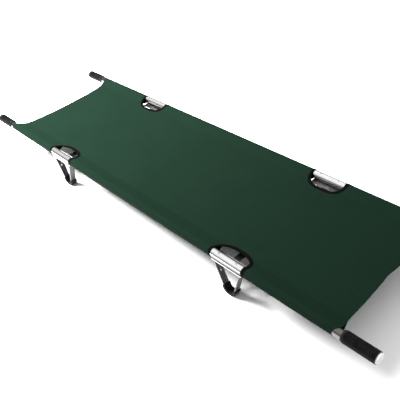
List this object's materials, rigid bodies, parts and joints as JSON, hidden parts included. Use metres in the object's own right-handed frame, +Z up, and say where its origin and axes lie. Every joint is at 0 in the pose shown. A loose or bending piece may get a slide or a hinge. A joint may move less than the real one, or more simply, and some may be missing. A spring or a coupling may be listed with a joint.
{
  "type": "folding stretcher",
  "caption": "Canvas bed on round poles with rubber hand grips, stirrup feet and jointed spreader bars; it folds flat by its width.",
  "frame": {"origin": "on the floor, midway between the four feet", "axes": "+X along the poles, +Y across from the front pole to the back pole, +Z up"},
  "size_m": [2.2, 0.597, 0.1725],
  "materials": {
    "pole": "satin",
    "collar": "satin",
    "grip": "matte",
    "end_cap": "satin",
    "saddle": "polished",
    "plate": "satin",
    "stirrup": "satin",
    "foot_pad": "matte",
    "pin": "satin",
    "rivet": "satin",
    "arm": "satin",
    "canvas": "woven",
    "binding": "woven"
  },
  "bodies": {
    "rail_front": {"pole_front": "pole", "collars_front": "collar", "grip_front_left": "grip", "end_cap_front_left": "end_cap", "saddle_front_left": "saddle", "base_plate_front_left": "plate", "spreader_bracket_front_left": "arm", "stirrup_front_left": "stirrup", "foot_pad_front_left": "foot_pad", "pivot_pin_front_left": "pin", "binding_front_left": "binding", "grip_front_right": "grip", "end_cap_front_right": "end_cap", "saddle_front_right": "saddle", "base_plate_front_right": "plate", "spreader_bracket_front_right": "arm", "stirrup_front_right": "stirrup", "foot_pad_front_right": "foot_pad", "pivot_pin_front_right": "pin", "binding_front_right": "binding", "saddle_rivets_front": "rivet", "stirrup_rivets_front": "rivet", "bracket_rivets_front": "rivet", "canvas_sleeve_front": "canvas"},
    "bed_front": {"canvas_panel_front": "canvas"},
    "rail_back": {"pole_back": "pole", "collars_back": "collar", "grip_back_left": "grip", "end_cap_back_left": "end_cap", "saddle_back_left": "saddle", "base_plate_back_left": "plate", "spreader_bracket_back_left": "arm", "stirrup_back_left": "stirrup", "foot_pad_back_left": "foot_pad", "pivot_pin_back_left": "pin", "binding_back_left": "binding", "grip_back_right": "grip", "end_cap_back_right": "end_cap", "saddle_back_right": "saddle", "base_plate_back_right": "plate", "spreader_bracket_back_right": "arm", "stirrup_back_right": "stirrup", "foot_pad_back_right": "foot_pad", "pivot_pin_back_right": "pin", "binding_back_right": "binding", "saddle_rivets_back": "rivet", "stirrup_rivets_back": "rivet", "bracket_rivets_back": "rivet", "canvas_sleeve_back": "canvas", "spacers": "pin"},
    "bed_back": {"canvas_panel_back": "canvas"},
    "arm_front_left": {"arm_front_left": "arm", "knuckle_pin_left": "pin"},
    "arm_back_left": {"arm_back_left": "arm"},
    "arm_front_right": {"arm_front_right": "arm", "knuckle_pin_right": "pin"},
    "arm_back_right": {"arm_back_right": "arm"}
  },
  "joints": [
    {"name": "fold", "type": "hinge", "parent": "rail_front", "child": "arm_front_left", "pos_m": [-0.52, -0.2, 0.1358], "axis": [0, 0, -1], "range_deg": [0, 84]},
    {"name": "knuckle_left", "type": "hinge", "parent": "arm_front_left", "child": "arm_back_left", "pos_m": [-0.52, 0, 0.1358], "axis": [0, 0, -1], "range_deg": [-168, 0]},
    {"name": "rail_back_turn", "type": "hinge", "parent": "arm_back_left", "child": "rail_back", "pos_m": [-0.52, 0.2, 0.1358], "axis": [0, 0, -1], "range_deg": [0, 84]},
    {"name": "arm_right_turn", "type": "hinge", "parent": "rail_front", "child": "arm_front_right", "pos_m": [0.52, -0.2, 0.1358], "axis": [0, 0, 1], "range_deg": [0, 84]},
    {"name": "knuckle_right", "type": "hinge", "parent": "arm_front_right", "child": "arm_back_right", "pos_m": [0.52, 0, 0.1358], "axis": [0, 0, 1], "range_deg": [-168, 0]},
    {"name": "bed_front_lift", "type": "hinge", "parent": "rail_front", "child": "bed_front", "pos_m": [0, -0.2, 0.1464], "axis": [1, 0, 0], "range_deg": [0, 84]},
    {"name": "bed_back_lift", "type": "hinge", "parent": "rail_back", "child": "bed_back", "pos_m": [0, 0.2, 0.1464], "axis": [-1, 0, 0], "range_deg": [0, 84]}
  ],
  "couplings": [
    {"joint": "knuckle_left", "follows": "fold", "ratio": -2},
    {"joint": "rail_back_turn", "follows": "fold", "ratio": 1},
    {"joint": "arm_right_turn", "follows": "fold", "ratio": 1},
    {"joint": "knuckle_right", "follows": "fold", "ratio": -2},
    {"joint": "bed_front_lift", "follows": "fold", "ratio": 1},
    {"joint": "bed_back_lift", "follows": "fold", "ratio": 1}
  ]
}
